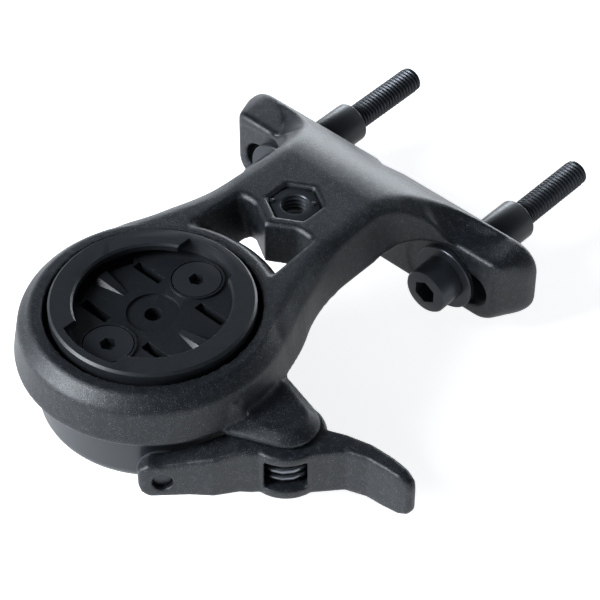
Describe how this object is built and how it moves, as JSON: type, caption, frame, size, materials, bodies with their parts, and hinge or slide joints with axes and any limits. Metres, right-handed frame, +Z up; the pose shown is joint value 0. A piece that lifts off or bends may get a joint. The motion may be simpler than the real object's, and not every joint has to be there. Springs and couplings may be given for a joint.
{
  "type": "bike computer mount with bell",
  "caption": "Out-front handlebar mount with a quarter-turn computer socket on top, a spring-loaded thumb lever that rings the dome bell under it, and long bolts for a stem face plate.",
  "frame": {"origin": "middle of the stem's face, between the two stem bolts, at the ends of their spacers", "axes": "+Y back along the bolts into the stem (the rider's side), -Y forward to the head, +Z up, +X the side with the bell's lever"},
  "size_m": [0.0845, 0.1126, 0.0291],
  "materials": {
    "bracket_nylon": "dark charcoal glass-filled nylon, fine matte grain",
    "insert_nylon": "dark charcoal moulded plastic, smooth satin",
    "black_screws": "steel with a black coating, satin",
    "brass_bushes": "turned, plain",
    "dome": "spun metal with a dark grey satin coating",
    "bare_steel": "bright drawn steel",
    "rubber_parts": "soft black rubber"
  },
  "bodies": {
    "mount": {"bracket": "bracket_nylon", "computer_insert": "insert_nylon", "insert_screw_front": "black_screws", "insert_screw_rear": "black_screws", "insert_bush_front": "brass_bushes", "insert_bush_rear": "brass_bushes", "accessory_nut": "black_screws", "bell_dome": "dome", "bell_screw": "black_screws", "bell_washer": "bare_steel", "bell_bush": "brass_bushes", "bell_grommet": "rubber_parts", "lever_pin": "bare_steel", "lever_spring": "bare_steel", "lever_washer": "insert_nylon", "lever_clip": "bare_steel"},
    "lever": {"thumb_lever": "bracket_nylon", "striker": "black_screws"},
    "bolt_left": {"stem_bolt_left": "black_screws", "bolt_washer_left": "black_screws", "bolt_spacer_left": "insert_nylon"},
    "bolt_right": {"stem_bolt_right": "black_screws", "bolt_washer_right": "black_screws", "bolt_spacer_right": "insert_nylon"}
  },
  "joints": [
    {"name": "lever_pivot", "type": "hinge", "parent": "mount", "child": "lever", "pos_m": [0.0286, -0.0706, 0], "axis": [0, 0, 1], "range_deg": [-1.5, 22], "stiffness_Nm_per_rad": 0.15, "deforming": ["lever_spring"]},
    {"name": "bolt_right_slide", "type": "slide", "parent": "mount", "child": "bolt_right", "axis": [1, 0, 0], "range_m": [-0.0019, 0.0061]},
    {"name": "bolt_left_slide", "type": "slide", "parent": "mount", "child": "bolt_left", "axis": [-1, 0, 0], "range_m": [-0.0019, 0.0061]}
  ]
}
